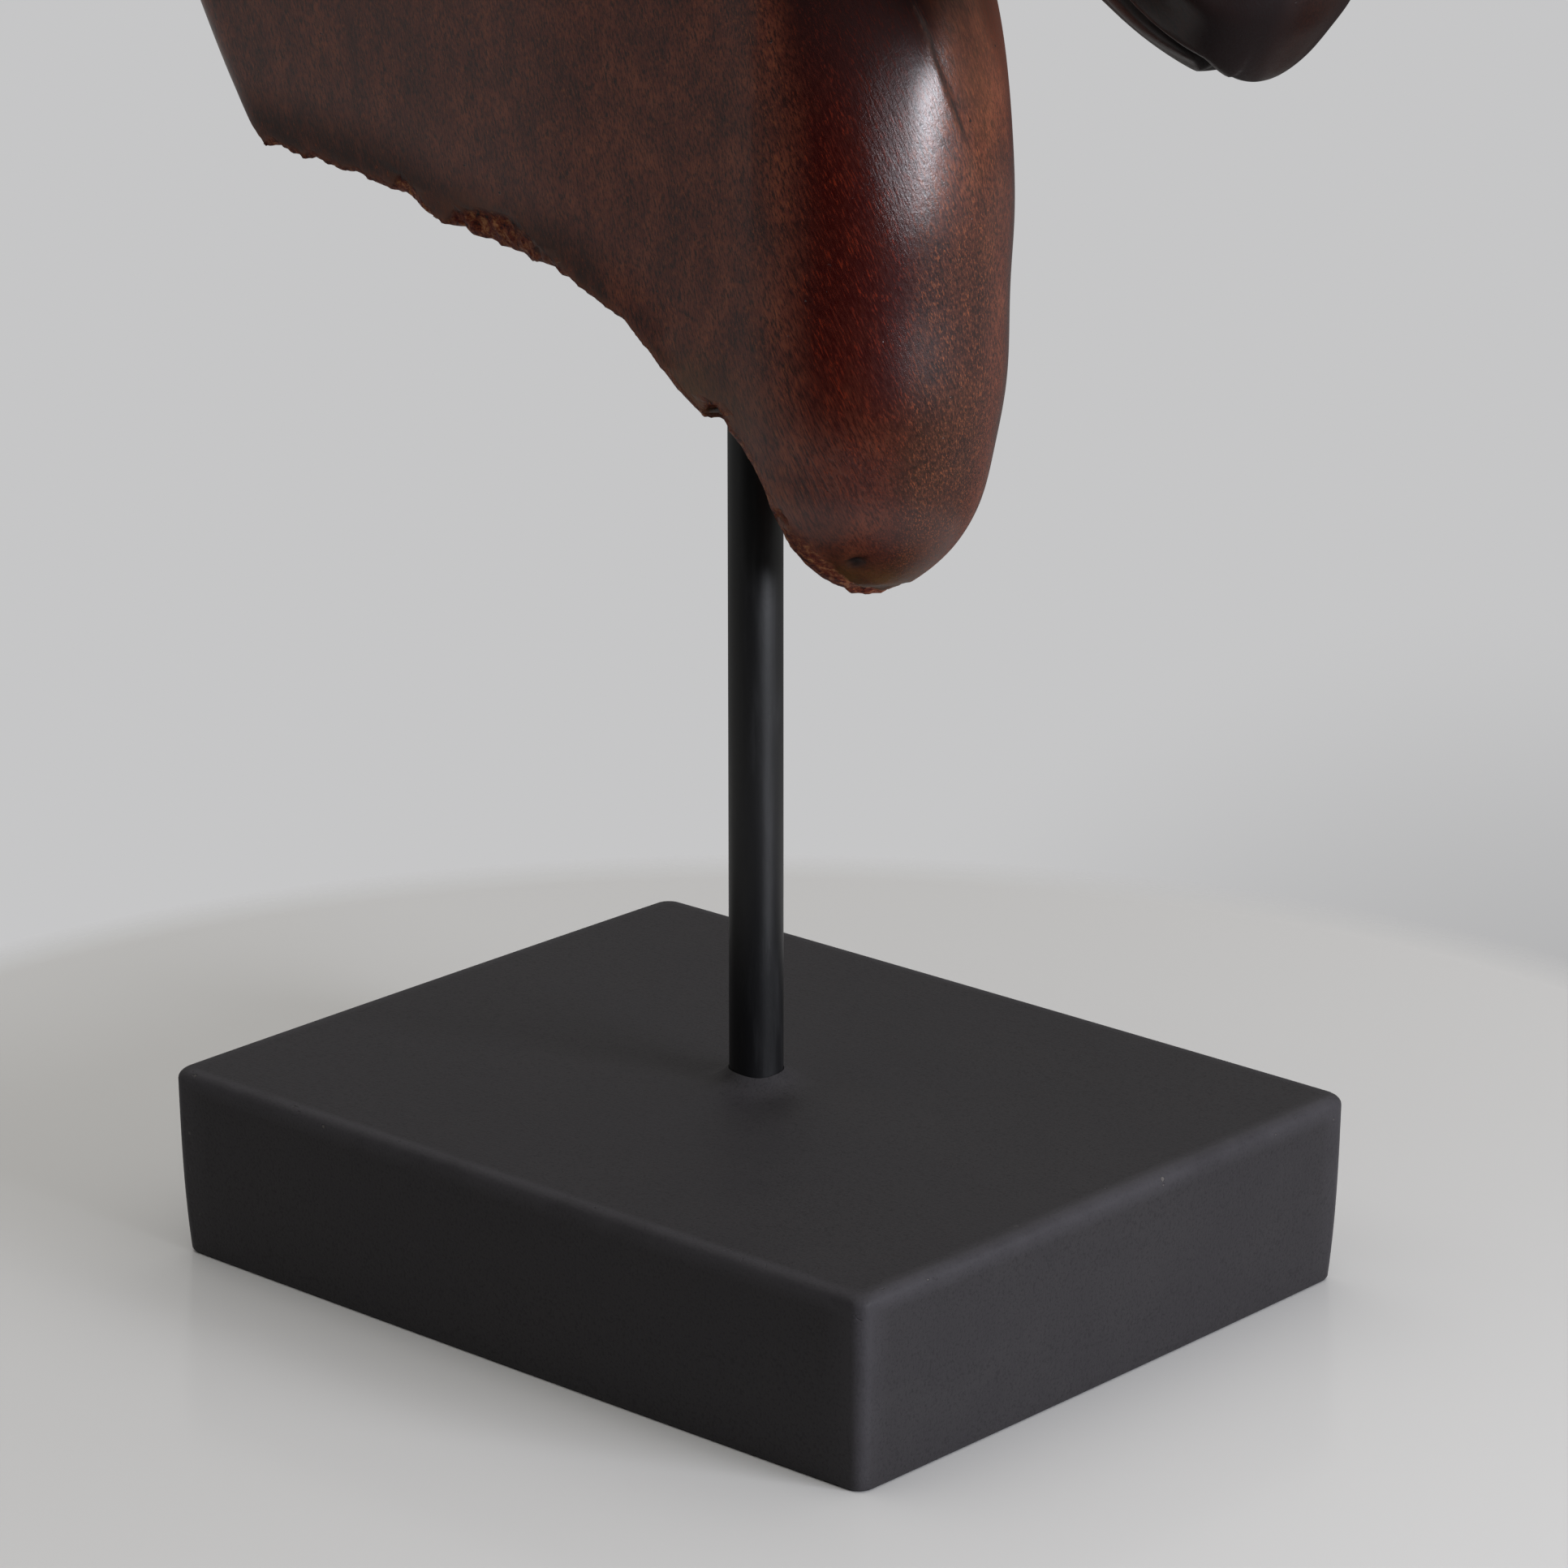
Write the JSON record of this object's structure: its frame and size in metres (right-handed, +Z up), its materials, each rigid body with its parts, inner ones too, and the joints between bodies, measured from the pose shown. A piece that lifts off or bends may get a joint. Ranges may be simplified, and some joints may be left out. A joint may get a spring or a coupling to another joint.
{
  "type": "horse head sculpture",
  "caption": "Cast horse head and arched neck with a broken lower edge, held up by a round rod on a rectangular block.",
  "frame": {"origin": "middle of the block's underside, on the rod's axis", "axes": "+Z up, +X the way the horse faces, +Y its left side"},
  "size_m": [0.3556, 0.1714, 0.5286],
  "materials": {
    "sculpture": "cast resin, antiqued red-brown, waxed to a soft gloss",
    "rod": "satin black",
    "block": "fibreboard painted matt black"
  },
  "bodies": {
    "root": {"horse_head": "sculpture", "rod": "rod", "base": "block"}
  },
  "joints": []
}
